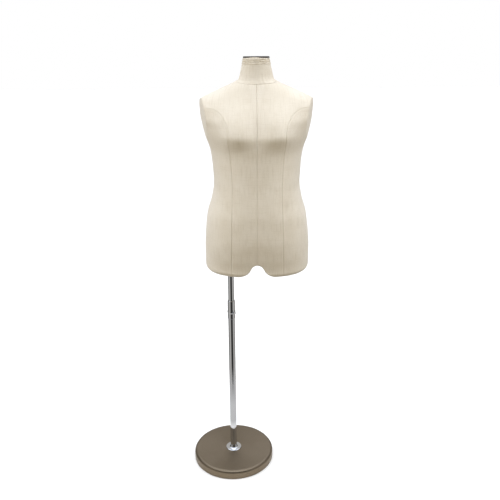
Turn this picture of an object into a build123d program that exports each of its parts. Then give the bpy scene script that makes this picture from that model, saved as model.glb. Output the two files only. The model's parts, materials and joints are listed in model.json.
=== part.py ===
"""Plus-size half-body dress form on a telescopic pole with a round weighted base.

Millimetres, +Z up.  The origin is on the pole's axis, where the base meets the
floor.  The form faces -Y, and its right thigh stands on the pole, so the torso's
middle plane is off to +X.
"""
import math
import os

from build123d import *

os.makedirs("parts", exist_ok=True)

# ---- overall -------------------------------------------------------------
TOTAL_HEIGHT = 1540.0        # at rest; the pole slides between 1430 and 1950
TORSO_HEIGHT = 720.0
HEM_Z = TOTAL_HEIGHT - TORSO_HEIGHT
TORSO_X = 96.0               # torso's middle plane, from the pole's axis

# ---- base ----------------------------------------------------------------
BASE_DIA = 312.0
BASE_TOP = 35.0
BASE_RIM_R = 11.0
BASE_SHEET = 1.5
MAT_DIA = 290.0
MAT_T = 2.0

# ---- pole ----------------------------------------------------------------
LOWER_OD = 25.0
LOWER_ID = 22.6
UPPER_OD = 22.0
UPPER_ID = 19.0
LOWER_TOP = 619.0
UPPER_BOTTOM = 168.0
UPPER_TOP = 936.0
COLLAR_OD = 27.6
COLLAR_BEAD_OD = 30.4
COLLAR_BEAD_HALF = 5.5       # half the height of its raised bead
COLLAR_BOTTOM = 604.0
COLLAR_TOP = 676.0
SCREW_Z = 631.0
SCREW_TURN = 35.0            # degrees from the front towards +X
RUN_FIT = 0.06               # radial clearance of a running fit

# ---- torso layers, each measured inwards from the cover's outside ---------
COVER_IN = 1.2
PAD_OUT = 1.7
PAD_IN = 7.7
SHELL_OUT = 8.2
SHELL_IN = 11.4
SEAM_GAP = 0.25              # half the gap between two cover panels
CAP_T = 4.5
CAP_GAP = 0.4
NECK_BLOCK_T = 24.0
THIGH_BOARD_T = 12.0
ARM_BOARD_T = 8.0
HEM_DRAW_IN = 6.0            # how far the thighs' lower edge is drawn in
# The gap between the thighs, from the middle: an arch with sides that flare out.
GAP_HEIGHT = 47.5
GAP_TOP_HALF = 12.0
GAP_FOOT_HALF = 69.4
GAP_FLARE = 52.0
GAP_LEAN = 30.0              # degrees from the level at which the flare starts
NECK_SEAM_DEPTH = 74.0       # below the top, at the side of the neck
NECK_SEAM_TILT = 11.0        # degrees, lower at the front

# Flat armhole planes: a point on each, and how they lean.
ARM_HALF = 200.0
ARM_Y = 45.0
ARM_DEPTH = 118.0
ARM_TOE_IN = 0.20            # the front edge sits nearer the middle
ARM_UNDERCUT = 0.11          # the lower edge sits nearer the middle

# ---- pole socket in the right thigh ---------------------------------------
SOCKET_OD = 28.0
SOCKET_ID = 22.8
SOCKET_TOP = 943.0
SOCKET_FLANGE_DIA = 70.0
SOCKET_SCREW_PCD = 54.0

# Horizontal sections of the covered torso.  Each row: depth below the top,
# half width, reach to the front, reach to the back, front and back squareness.
SECTIONS = [
    (0, 42.5, 46, 42, 2.0, 2.0),
    (38, 50.5, 48, 50, 2.0, 2.0),
    (70, 58.5, 53, 61, 2.0, 2.05),
    (81, 75, 58.5, 68.5, 2.0, 2.1),
    (97, 112, 69, 78, 2.0, 2.15),
    (116, 155, 81, 88, 2.0, 2.2),
    (139, 198, 97, 98, 1.95, 2.25),
    (162, 216, 113, 107, 1.9, 2.3),
    (190, 214, 129, 118, 1.9, 2.3),
    (222, 193, 143, 126, 1.9, 2.3),
    (258, 173, 155, 130, 1.95, 2.35),
    (305, 157, 157, 128, 2.05, 2.35),
    (355, 151, 158, 126, 2.2, 2.3),
    (410, 148, 162, 128, 2.3, 2.3),
    (462, 156, 169, 138, 2.3, 2.3),
    (522, 173, 175, 152, 2.35, 2.35),
    (586, 181, 176, 162, 2.4, 2.4),
    (648, 184, 168, 161, 2.5, 2.5),
    (702, 184, 158, 154, 2.6, 2.6),
]
# Rises on the sections: height, distance from the middle and its spread, depth
# below the top, and the spreads above and below it.
BREAST = (37, 89, 46, 241, 54, 30)
BLADE = (5, 80, 45, 195, 50, 60)
SEAT = (14, 78, 50, 612, 62, 60)
SECTION_POINTS = 36
SECTION_STEP = 18.0

# Seams between the cover's panels: (depth below top, distance from the middle).
FRONT_SEAM = [(158, 176), (164, 137), (190, 107), (227, 93), (260, 91), (326, 85), (410, 81),
              (580, 85), (724, 88)]
BACK_SEAM = [(156, 180), (168, 137), (196, 110), (246, 95), (326, 85), (410, 79), (580, 86),
             (724, 90)]


def row_value(depth, column):
    """Monotone cubic through one column of SECTIONS."""
    xs = [row[0] for row in SECTIONS]
    ys = [row[column] for row in SECTIONS]
    if depth <= xs[0]:
        return ys[0]
    if depth >= xs[-1]:
        return ys[-1]
    steps = [xs[i + 1] - xs[i] for i in range(len(xs) - 1)]
    rises = [(ys[i + 1] - ys[i]) / steps[i] for i in range(len(steps))]
    slopes = [rises[0]]
    for i in range(1, len(rises)):
        before, after = rises[i - 1], rises[i]
        slopes.append(0 if before * after <= 0 else 2 * before * after / (before + after))
    slopes.append(0.0)
    i = max(k for k in range(len(steps)) if xs[k] <= depth)
    t = (depth - xs[i]) / steps[i]
    near = (2 * t**3 - 3 * t**2 + 1) * ys[i] + (t**3 - 2 * t**2 + t) * steps[i] * slopes[i]
    far = (3 * t**2 - 2 * t**3) * ys[i + 1] + (t**3 - t**2) * steps[i] * slopes[i + 1]
    return near + far


def bump(x, depth, shape):
    """A smooth rise, one on each side of the middle plane."""
    height, x_mid, x_width, depth_mid, above, below = shape
    spread = above if depth < depth_mid else below
    across = ((abs(x) - x_mid) / x_width) ** 2
    along = ((depth - depth_mid) / spread) ** 2
    return height * math.exp(-(across + along) / 2)


def skin_point(angle, depth):
    """A point on the cover's outside, from the torso's middle."""
    half_width, front, back, front_square, back_square = [row_value(depth, k) for k in range(1, 6)]
    c = math.cos(angle)
    s = math.sin(angle)
    square = front_square if s < 0 else back_square
    x = half_width * math.copysign(abs(c) ** (2 / square), c)
    reach = abs(s) ** (2 / square)
    if s < 0:
        return x, -(front * reach + bump(x, depth, BREAST) * abs(s))
    rise = bump(x, depth, BLADE) + bump(x, depth, SEAT)
    return x, back * reach + rise * abs(s)


def inset_point(angle, depth, inset):
    """The same point moved inwards, square to the surface, by inset."""
    step = 0.02
    ahead = skin_point(angle + step, depth)
    behind = skin_point(angle - step, depth)
    tangent = (ahead[0] - behind[0], ahead[1] - behind[1])
    size = math.hypot(*tangent)
    normal = (tangent[1] / size, -tangent[0] / size)
    lower = skin_point(angle, min(depth + 2, 702))
    upper = skin_point(angle, max(depth - 2, 0))
    slope = ((lower[0] - upper[0]) * normal[0] + (lower[1] - upper[1]) * normal[1]) / 4
    move = inset * math.sqrt(1 + min(abs(slope), 3.0) ** 2)
    x, y = skin_point(angle, depth)
    return x - normal[0] * move, y - normal[1] * move


def section_face(depth, height, inset):
    """One horizontal section as a face at the given height."""
    points = []
    for i in range(SECTION_POINTS):
        x, y = inset_point(2 * math.pi * (i + 0.5) / SECTION_POINTS, depth, inset)
        points.append((TORSO_X + x, y))
    even_steps = [float(i) for i in range(SECTION_POINTS + 1)]
    with BuildSketch(Plane.XY.offset(height)) as face:
        with BuildLine():
            add(Edge.make_spline(points, periodic=True, parameters=even_steps))
        make_face()
    return face.sketch


def torso_solid(inset):
    """The whole torso, inset from its outside, drawn in a little at its lower edge."""
    levels = round(TORSO_HEIGHT / SECTION_STEP)
    with BuildPart() as body:
        for i in range(levels + 1):
            depth = i * SECTION_STEP
            hem = HEM_DRAW_IN if i == levels else 0
            add(section_face(depth, TOTAL_HEIGHT - depth, inset + hem))
        loft()
        add(thigh_gap(inset), mode=Mode.SUBTRACT)
        if inset:
            add(slab(HEM_Z - 10, HEM_Z + inset), mode=Mode.SUBTRACT)
    return body.part


def thigh_gap(inset):
    """The arched gap between the two thighs, right through from front to back."""
    half = GAP_TOP_HALF + inset * math.tan(math.radians(GAP_LEAN))
    top = HEM_Z + GAP_HEIGHT + inset
    flare = GAP_FLARE - inset
    foot_half = GAP_FOOT_HALF
    foot = HEM_Z + inset
    # The side slopes out from the arch and meets the flare's arc at this angle.
    lean = math.radians(GAP_LEAN)
    knee_x = foot_half - flare * math.cos(lean)
    knee_z = foot + flare * (1 - math.sin(lean))
    with BuildPart() as gap:
        with BuildSketch(Plane.XZ.offset(-250)):
            with BuildLine():
                for side in (-1, 1):
                    Line((TORSO_X, top), (TORSO_X + side * half, top))
                    Line((TORSO_X + side * half, top), (TORSO_X + side * knee_x, knee_z))
                    CenterArc((TORSO_X + side * foot_half, foot + flare), flare,
                              270, side * (GAP_LEAN - 90))
                    Line((TORSO_X + side * foot_half, foot), (TORSO_X + side * foot_half, foot - 20))
                Line((TORSO_X - foot_half, foot - 20), (TORSO_X + foot_half, foot - 20))
            make_face()
        extrude(amount=500)
    return gap.part


def slab(bottom, top):
    """A wide flat block between two heights."""
    with BuildPart() as block:
        with BuildSketch(Plane.XY.offset(bottom)):
            with Locations((TORSO_X, 0)):
                Rectangle(700, 560)
        extrude(amount=top - bottom)
    return block.part


def side_block(side, way=0):
    """The space on one side of the middle, and in front (-1) or behind (+1) if asked."""
    with BuildPart() as block:
        with BuildSketch(Plane.XY.offset(HEM_Z - 10)):
            with Locations((TORSO_X + side * (175 + SEAM_GAP), way * (140 + SEAM_GAP))):
                Rectangle(350, 280 if way else 560)
        extrude(amount=TORSO_HEIGHT + 20)
    return block.part


def half_block(way):
    """The space in front of (-1) or behind (+1) the side seams."""
    with BuildPart() as block:
        with BuildSketch(Plane.XY.offset(HEM_Z - 10)):
            with Locations((TORSO_X, way * (140 + SEAM_GAP))):
                Rectangle(700, 280)
        extrude(amount=TORSO_HEIGHT + 20)
    return block.part


def beyond_arm(side, inset):
    """Everything outside the arm plane moved inwards by inset; side is +1 for +X."""
    normal = Vector(side, -ARM_TOE_IN, -ARM_UNDERCUT)
    on_plane = Vector(TORSO_X + side * ARM_HALF, ARM_Y, TOTAL_HEIGHT - ARM_DEPTH)
    with BuildPart() as space:
        with BuildSketch(Plane(origin=on_plane, z_dir=normal).offset(-inset)):
            Rectangle(440, 440)
        extrude(amount=160)
    return space.part


def seam_block(seam, way, shift):
    """The space outside the left princess seam, moved out and down by shift."""
    points = [(TORSO_X + x + shift, TOTAL_HEIGHT - depth - shift) for depth, x in seam]
    outside = TORSO_X + 320
    with BuildPart() as block:
        with BuildSketch(Plane.XZ):
            with BuildLine():
                Spline(*points)
                Line(points[-1], (outside, points[-1][1]))
                Line((outside, points[-1][1]), (outside, points[0][1]))
                Line((outside, points[0][1]), points[0])
            make_face()
        extrude(amount=-way * 260)
    return block.part


def above_neck_seam(shift):
    """Everything above the neck seam's plane, which drops towards the front."""
    tilt = math.radians(NECK_SEAM_TILT)
    level = TOTAL_HEIGHT - NECK_SEAM_DEPTH + shift
    with BuildPart() as space:
        with BuildSketch(Plane(origin=(TORSO_X, 0, level), z_dir=(0, -math.sin(tilt), math.cos(tilt)))):
            Rectangle(300, 300)
        extrude(amount=160)
    return space.part


def mirrored(part):
    """The same part on the other side of the torso's middle plane."""
    return part.mirror(Plane.YZ.offset(TORSO_X))


def save(part, name):
    """Label one sub-part and write its STEP file."""
    part.label = name
    export_step(part, "parts/" + name + ".step")


# ======================= base ==============================================

# Rubber mat under the base.
with BuildPart() as base_mat:
    Cylinder(MAT_DIA / 2, MAT_T, align=(Align.CENTER, Align.CENTER, Align.MIN))
save(base_mat.part, "base_mat")

# Pressed metal cover over the weight, with a rolled upper rim.
shell_r = BASE_DIA / 2
inner_rim = BASE_RIM_R - BASE_SHEET
with BuildPart() as base_shell:
    with BuildSketch(Plane.XZ):
        with BuildLine():
            Line((5.6, BASE_TOP), (shell_r - BASE_RIM_R, BASE_TOP))
            RadiusArc((shell_r - BASE_RIM_R, BASE_TOP), (shell_r, BASE_TOP - BASE_RIM_R), BASE_RIM_R)
            Line((shell_r, BASE_TOP - BASE_RIM_R), (shell_r, 2.5))
            Line((shell_r, 2.5), (shell_r - BASE_SHEET, 1.0))
            Line((shell_r - BASE_SHEET, 1.0), (shell_r - BASE_SHEET, BASE_TOP - BASE_RIM_R))
            RadiusArc((shell_r - BASE_SHEET, BASE_TOP - BASE_RIM_R),
                      (shell_r - BASE_RIM_R, BASE_TOP - BASE_SHEET), -inner_rim)
            Line((shell_r - BASE_RIM_R, BASE_TOP - BASE_SHEET), (5.6, BASE_TOP - BASE_SHEET))
            Line((5.6, BASE_TOP - BASE_SHEET), (5.6, BASE_TOP))
        make_face()
    revolve(axis=Axis.Z)
save(base_shell.part, "base_shell")

# Cast weight with a recess for the bolt's head.
weight_r = shell_r - BASE_SHEET - 0.6
weight_top = BASE_TOP - BASE_SHEET
with BuildPart() as base_weight:
    with Locations((0, 0, MAT_T)):
        Cylinder(weight_r, weight_top - MAT_T, align=(Align.CENTER, Align.CENTER, Align.MIN))
    fillet(base_weight.edges().filter_by(GeomType.CIRCLE).group_by(Axis.Z)[-1], BASE_RIM_R - 1.2)
    Cylinder(5.6, 80, mode=Mode.SUBTRACT)
    with Locations((0, 0, MAT_T)):
        Cylinder(13.5, 14, align=(Align.CENTER, Align.CENTER, Align.MIN), mode=Mode.SUBTRACT)
save(base_weight.part, "base_weight")

# Hex bolt up through the weight into the pole's foot, and its washer.
with BuildPart() as base_bolt:
    with BuildSketch(Plane.XY.offset(6.5)):
        RegularPolygon(17 / 2, 6, major_radius=False)
    extrude(amount=6.5)
    with Locations((0, 0, 13.0)):
        Cylinder(5.0, 35, align=(Align.CENTER, Align.CENTER, Align.MIN))
    chamfer(base_bolt.edges().filter_by(GeomType.CIRCLE).group_by(Axis.Z)[-1], 0.8)
save(base_bolt.part, "base_bolt")

with BuildPart() as base_washer:
    with Locations((0, 0, 13.0)):
        Cylinder(12.5, 3.0, align=(Align.CENTER, Align.CENTER, Align.MIN))
    with Locations((0, 0, 13.0)):
        Cylinder(5.4, 20, mode=Mode.SUBTRACT)
save(base_washer.part, "base_washer")

# ======================= pole ==============================================

# Chrome trim flange around the pole's foot.
with BuildPart() as pole_flange:
    with BuildSketch(Plane.XZ):
        with BuildLine():
            Line((12.6, BASE_TOP), (30.5, BASE_TOP))
            Line((30.5, BASE_TOP), (30.5, BASE_TOP + 1.2))
            RadiusArc((30.5, BASE_TOP + 1.2), (28.5, BASE_TOP + 3.2), -2.0)
            Line((28.5, BASE_TOP + 3.2), (18.0, BASE_TOP + 4.0))
            RadiusArc((18.0, BASE_TOP + 4.0), (15.5, BASE_TOP + 6.5), 2.5)
            Line((15.5, BASE_TOP + 6.5), (15.0, BASE_TOP + 14.0))
            Line((15.0, BASE_TOP + 14.0), (12.6, BASE_TOP + 14.0))
            Line((12.6, BASE_TOP + 14.0), (12.6, BASE_TOP))
        make_face()
    revolve(axis=Axis.Z)
save(pole_flange.part, "pole_flange")

# Threaded plug fixed in the lower tube's foot.
with BuildPart() as pole_foot:
    with Locations((0, 0, BASE_TOP)):
        Cylinder(LOWER_ID / 2 - 0.05, 14, align=(Align.CENTER, Align.CENTER, Align.MIN))
        Cylinder(5.1, 60, mode=Mode.SUBTRACT)
    chamfer(pole_foot.edges().filter_by(GeomType.CIRCLE).group_by(Axis.Z)[-1], 0.5)
save(pole_foot.part, "pole_foot")

with BuildPart() as lower_tube:
    with BuildSketch(Plane.XY.offset(BASE_TOP)):
        Circle(LOWER_OD / 2)
        Circle(LOWER_ID / 2, mode=Mode.SUBTRACT)
    extrude(amount=LOWER_TOP - BASE_TOP)
save(lower_tube.part, "lower_tube")

# Collar over the joint of the two tubes, with a raised bead that takes the screw.
turn = math.radians(SCREW_TURN)
screw_out = Vector(math.sin(turn), -math.cos(turn), 0)
screw_plane = Plane(origin=(0, 0, SCREW_Z), z_dir=screw_out)
with BuildPart() as collar:
    with BuildSketch(Plane.XZ):
        with BuildLine():
            Line((12.55, COLLAR_BOTTOM), (COLLAR_OD / 2 - 0.6, COLLAR_BOTTOM))
            Line((COLLAR_OD / 2 - 0.6, COLLAR_BOTTOM), (COLLAR_OD / 2, COLLAR_BOTTOM + 0.6))
            Line((COLLAR_OD / 2, COLLAR_BOTTOM + 0.6), (COLLAR_OD / 2, SCREW_Z - COLLAR_BEAD_HALF))
            ThreePointArc((COLLAR_OD / 2, SCREW_Z - COLLAR_BEAD_HALF), (COLLAR_BEAD_OD / 2, SCREW_Z),
                          (COLLAR_OD / 2, SCREW_Z + COLLAR_BEAD_HALF))
            Line((COLLAR_OD / 2, SCREW_Z + COLLAR_BEAD_HALF), (COLLAR_OD / 2, COLLAR_TOP - 1.0))
            Line((COLLAR_OD / 2, COLLAR_TOP - 1.0), (COLLAR_OD / 2 - 1.0, COLLAR_TOP))
            Line((COLLAR_OD / 2 - 1.0, COLLAR_TOP), (11.4, COLLAR_TOP))
            Line((11.4, COLLAR_TOP), (11.4, COLLAR_TOP - 2.0))
            Line((11.4, COLLAR_TOP - 2.0), (12.55, COLLAR_TOP - 2.0))
            Line((12.55, COLLAR_TOP - 2.0), (12.55, COLLAR_BOTTOM))
        make_face()
    revolve(axis=Axis.Z)
    with BuildSketch(screw_plane.offset(11)):
        Circle(2.6)
    extrude(amount=10, mode=Mode.SUBTRACT)
save(collar.part, "collar")

# Nylon bush inside the collar, a running fit on the upper tube.
with BuildPart() as collar_bush:
    with BuildSketch(Plane.XY.offset(LOWER_TOP + 0.5)):
        Circle(12.5)
        Circle(UPPER_OD / 2 + RUN_FIT, mode=Mode.SUBTRACT)
    extrude(amount=COLLAR_TOP - 2.5 - LOWER_TOP - 0.5)
    with BuildSketch(screw_plane.offset(9)):
        Circle(2.9)
    extrude(amount=8, mode=Mode.SUBTRACT)
save(collar_bush.part, "collar_bush")

# Lock screw: a stud that bears on the upper tube, and a fluted knob.
with BuildPart() as lock_screw:
    with BuildSketch(screw_plane.offset(UPPER_OD / 2 + 0.15)):
        Circle(2.5)
    extrude(amount=8.4)
    with BuildSketch(screw_plane.offset(15.9)):
        Circle(4.0)
    extrude(amount=1.2)
    with BuildSketch(screw_plane.offset(17.1)):
        Circle(5.2)
        with PolarLocations(5.5, 12):
            Circle(0.65, mode=Mode.SUBTRACT)
    extrude(amount=5.4)
    chamfer(lock_screw.faces().sort_by(Axis(origin=(0, 0, SCREW_Z), direction=screw_out))[-1].edges(), 0.3)
save(lock_screw.part, "lock_screw")

with BuildPart() as upper_tube:
    with BuildSketch(Plane.XY.offset(UPPER_BOTTOM)):
        Circle(UPPER_OD / 2)
        Circle(UPPER_ID / 2, mode=Mode.SUBTRACT)
    extrude(amount=UPPER_TOP - UPPER_BOTTOM)
save(upper_tube.part, "upper_tube")

# Nylon glide on the upper tube's lower end, a running fit in the lower tube.
with BuildPart() as tube_glide:
    with Locations((0, 0, UPPER_BOTTOM - 6)):
        Cylinder(LOWER_ID / 2 - RUN_FIT, 6, align=(Align.CENTER, Align.CENTER, Align.MIN))
        Cylinder(UPPER_ID / 2 - 0.05, 24, align=(Align.CENTER, Align.CENTER, Align.MIN))
    chamfer(tube_glide.edges().filter_by(GeomType.CIRCLE).group_by(Axis.Z)[0], 0.8)
save(tube_glide.part, "tube_glide")

# Plastic plug in the upper tube's top, which carries the torso.
with BuildPart() as tube_plug:
    with Locations((0, 0, UPPER_TOP)):
        Cylinder(SOCKET_ID / 2 - RUN_FIT, 3.5, align=(Align.CENTER, Align.CENTER, Align.MIN))
        Cylinder(UPPER_ID / 2 - 0.05, 18, align=(Align.CENTER, Align.CENTER, Align.MAX))
save(tube_plug.part, "tube_plug")

# ======================= pole socket =======================================

board_bottom = HEM_Z + SHELL_OUT
board_top = board_bottom + THIGH_BOARD_T
with BuildPart() as pole_socket:
    with BuildSketch(Plane.XY.offset(HEM_Z + 0.5)):
        Circle(SOCKET_OD / 2)
    extrude(amount=SOCKET_TOP - HEM_Z - 0.5)
    with BuildSketch(Plane.XY.offset(board_top)):
        Circle(SOCKET_FLANGE_DIA / 2)
    extrude(amount=4)
    with BuildSketch(Plane.XY.offset(HEM_Z - 5)):
        Circle(SOCKET_ID / 2)
    extrude(amount=SOCKET_TOP - 3 - HEM_Z + 5, mode=Mode.SUBTRACT)
    with BuildSketch(Plane.XY.offset(HEM_Z - 5)):
        Circle(12.6)
    extrude(amount=27, mode=Mode.SUBTRACT)
    with PolarLocations(SOCKET_SCREW_PCD / 2, 4, start_angle=45):
        with Locations((0, 0, board_top)):
            Cylinder(2.7, 20, mode=Mode.SUBTRACT)
save(pole_socket.part, "pole_socket")

# Nylon bush in the socket's mouth.
with BuildPart() as socket_bush:
    with BuildSketch(Plane.XY.offset(HEM_Z + 0.5)):
        Circle(12.55)
        Circle(UPPER_OD / 2 + RUN_FIT, mode=Mode.SUBTRACT)
    extrude(amount=21)
save(socket_bush.part, "socket_bush")

# Four pan-head screws hold the socket's flange to the thigh board.
with BuildPart() as socket_screws:
    with PolarLocations(SOCKET_SCREW_PCD / 2, 4, start_angle=45):
        with Locations((0, 0, board_top + 4)):
            Cylinder(4.5, 3, align=(Align.CENTER, Align.CENTER, Align.MIN))
            Cylinder(2.4, 14, align=(Align.CENTER, Align.CENTER, Align.MAX))
save(socket_screws.part, "socket_screws")

# ======================= torso =============================================

outer = torso_solid(0)
under_cover = torso_solid(COVER_IN)
pad_outer = torso_solid(PAD_OUT)
pad_inner = torso_solid(PAD_IN)
shell_outer = torso_solid(SHELL_OUT)
shell_inner = torso_solid(SHELL_IN)
crown_z = TOTAL_HEIGHT - CAP_T - CAP_GAP
block_bottom = crown_z - NECK_BLOCK_T

# Linen cover as one skin, then cut into its panels along the seams.
with BuildPart() as cover_skin:
    add(outer)
    add(under_cover, mode=Mode.SUBTRACT)
    add(slab(crown_z, TOTAL_HEIGHT + 10), mode=Mode.SUBTRACT)
    add(slab(HEM_Z - 10, HEM_Z + COVER_IN + 0.05), mode=Mode.SUBTRACT)
    for side in (-1, 1):
        add(beyond_arm(side, COVER_IN + 0.05), mode=Mode.SUBTRACT)

with BuildPart() as neck_cover:
    add(cover_skin.part)
    add(above_neck_seam(SEAM_GAP), mode=Mode.INTERSECT)
save(neck_cover.part, "neck_cover")

with BuildPart() as body_cover:
    add(cover_skin.part)
    add(above_neck_seam(-SEAM_GAP), mode=Mode.SUBTRACT)

PANELS = [
    ("cover_front", FRONT_SEAM, -1, False),
    ("cover_side_front", FRONT_SEAM, -1, True),
    ("cover_back", BACK_SEAM, 1, False),
    ("cover_side_back", BACK_SEAM, 1, True),
]
for panel_name, seam, way, outside in PANELS:
    with BuildPart() as panel:
        add(body_cover.part)
        add(side_block(1, way), mode=Mode.INTERSECT)
        if outside:
            add(seam_block(seam, way, SEAM_GAP), mode=Mode.INTERSECT)
        else:
            add(seam_block(seam, way, -SEAM_GAP), mode=Mode.SUBTRACT)
    save(panel.part, panel_name + "_left")
    save(mirrored(panel.part), panel_name + "_right")

# Fabric over the flat armhole plates, and the boards behind it.
with BuildPart() as arm_cover:
    add(outer)
    add(beyond_arm(1, COVER_IN), mode=Mode.INTERSECT)
    add(beyond_arm(1, 0), mode=Mode.SUBTRACT)
save(arm_cover.part, "arm_cover_left")
save(mirrored(arm_cover.part), "arm_cover_right")

with BuildPart() as arm_board:
    add(shell_outer)
    add(beyond_arm(1, PAD_OUT + ARM_BOARD_T), mode=Mode.INTERSECT)
    add(beyond_arm(1, PAD_OUT), mode=Mode.SUBTRACT)
save(arm_board.part, "arm_board_left")
save(mirrored(arm_board.part), "arm_board_right")

# Fabric under the thighs, and the boards that close them.
with BuildPart() as stump_cover:
    add(outer)
    add(slab(HEM_Z - 10, HEM_Z + COVER_IN), mode=Mode.INTERSECT)
    add(side_block(1), mode=Mode.INTERSECT)
save(stump_cover.part, "stump_cover_left")

with BuildPart() as stump_cover_right:
    add(mirrored(stump_cover.part))
    with Locations((0, 0, HEM_Z)):
        Cylinder(SOCKET_OD / 2 + 0.5, 40, mode=Mode.SUBTRACT)
save(stump_cover_right.part, "stump_cover_right")

with BuildPart() as thigh_board:
    add(shell_outer)
    add(slab(board_bottom, board_top), mode=Mode.INTERSECT)
    add(side_block(1), mode=Mode.INTERSECT)
save(thigh_board.part, "thigh_board_left")

with BuildPart() as thigh_board_right:
    add(mirrored(thigh_board.part))
    with Locations((0, 0, board_bottom)):
        Cylinder(SOCKET_OD / 2 + 0.3, 60, mode=Mode.SUBTRACT)
        with PolarLocations(SOCKET_SCREW_PCD / 2, 4, start_angle=45):
            Cylinder(2.5, 60, mode=Mode.SUBTRACT)
save(thigh_board_right.part, "thigh_board_right")

# Padding and hard shell, each in a front and a back half.
with BuildPart() as padding:
    add(pad_outer)
    add(pad_inner, mode=Mode.SUBTRACT)
    add(slab(crown_z, TOTAL_HEIGHT + 10), mode=Mode.SUBTRACT)
    for side in (-1, 1):
        add(beyond_arm(side, PAD_OUT), mode=Mode.SUBTRACT)
    with Locations((0, 0, HEM_Z)):
        Cylinder(SOCKET_OD / 2 + 1, 40, mode=Mode.SUBTRACT)

with BuildPart() as shell:
    add(shell_outer)
    add(shell_inner, mode=Mode.SUBTRACT)
    add(slab(block_bottom - 0.4, TOTAL_HEIGHT + 10), mode=Mode.SUBTRACT)
    add(slab(HEM_Z - 10, board_top + 0.4), mode=Mode.SUBTRACT)
    for side in (-1, 1):
        add(beyond_arm(side, PAD_OUT + ARM_BOARD_T + 0.4), mode=Mode.SUBTRACT)

for layer, layer_name in ((padding, "padding"), (shell, "shell")):
    for way, half_name in ((-1, "_front"), (1, "_back")):
        with BuildPart() as half:
            add(layer.part)
            add(half_block(way), mode=Mode.INTERSECT)
        save(half.part, layer_name + half_name)

# Neck: a wooden block, the cap plate on it and the screw that holds the cap.
screw_x = TORSO_X
with BuildPart() as neck_block:
    add(shell_outer)
    add(slab(block_bottom, crown_z), mode=Mode.INTERSECT)
    with Locations((screw_x, 2, crown_z)):
        Cylinder(2.6, 50, mode=Mode.SUBTRACT)
save(neck_block.part, "neck_block")

with BuildPart() as neck_cap:
    add(outer)
    add(slab(TOTAL_HEIGHT - CAP_T, TOTAL_HEIGHT), mode=Mode.INTERSECT)
    with Locations((screw_x, 2, TOTAL_HEIGHT)):
        CounterSinkHole(2.6, 5.2, depth=20)
save(neck_cap.part, "neck_cap")

with BuildPart() as cap_screw:
    with BuildSketch(Plane.XZ.offset(-2)):
        with BuildLine():
            Line((screw_x, TOTAL_HEIGHT - 0.2), (screw_x + 4.8, TOTAL_HEIGHT - 0.2))
            Line((screw_x + 4.8, TOTAL_HEIGHT - 0.2), (screw_x + 2.4, TOTAL_HEIGHT - 2.6))
            Line((screw_x + 2.4, TOTAL_HEIGHT - 2.6), (screw_x + 2.4, TOTAL_HEIGHT - 20))
            Line((screw_x + 2.4, TOTAL_HEIGHT - 20), (screw_x, TOTAL_HEIGHT - 22))
            Line((screw_x, TOTAL_HEIGHT - 22), (screw_x, TOTAL_HEIGHT - 0.2))
        make_face()
    revolve(axis=Axis((screw_x, 2, 0), (0, 0, 1)))
save(cap_screw.part, "cap_screw")
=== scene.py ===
"""Dress form mannequin: the linen cover, the chrome pole and the satin metal base.

The frame gives the sizes and places.  The torso's skin is worked out here from the
same horizontal sections as the frame, but on fine grids that follow the seams, so
that each linen panel is its own piece with rolled seam edges.
"""

import json
import math

import bmesh
import bpy
import numpy as np
from mathutils import Matrix, Vector, kdtree


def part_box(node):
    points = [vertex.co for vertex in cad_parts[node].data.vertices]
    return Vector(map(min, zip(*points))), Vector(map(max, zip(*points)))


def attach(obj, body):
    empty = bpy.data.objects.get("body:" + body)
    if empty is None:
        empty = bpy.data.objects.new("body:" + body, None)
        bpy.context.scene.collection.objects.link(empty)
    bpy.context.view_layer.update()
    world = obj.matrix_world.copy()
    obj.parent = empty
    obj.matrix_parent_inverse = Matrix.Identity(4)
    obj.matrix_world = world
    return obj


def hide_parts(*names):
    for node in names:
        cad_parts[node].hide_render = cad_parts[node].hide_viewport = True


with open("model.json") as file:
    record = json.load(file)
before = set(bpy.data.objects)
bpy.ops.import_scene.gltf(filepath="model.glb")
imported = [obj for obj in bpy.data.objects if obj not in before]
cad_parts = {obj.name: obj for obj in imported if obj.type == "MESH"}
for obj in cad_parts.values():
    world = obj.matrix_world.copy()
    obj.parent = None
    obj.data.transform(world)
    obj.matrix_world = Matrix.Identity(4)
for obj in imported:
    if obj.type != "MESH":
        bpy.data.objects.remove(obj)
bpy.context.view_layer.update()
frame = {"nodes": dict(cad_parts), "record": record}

MM = 0.001
CAP_LOW, CAP_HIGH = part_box("neck_cap")
HEM_LOW, HEM_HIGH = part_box("stump_cover_left")
MIDDLE_X = (CAP_LOW.x + CAP_HIGH.x) / 2 / MM      # torso's middle plane, in mm
TOP_Z = CAP_HIGH.z / MM
CAP_DEPTH = (CAP_HIGH.z - CAP_LOW.z) / MM
HEIGHT = TOP_Z - HEM_LOW.z / MM
CLOTH = 1.2                                       # linen and its backing

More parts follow.
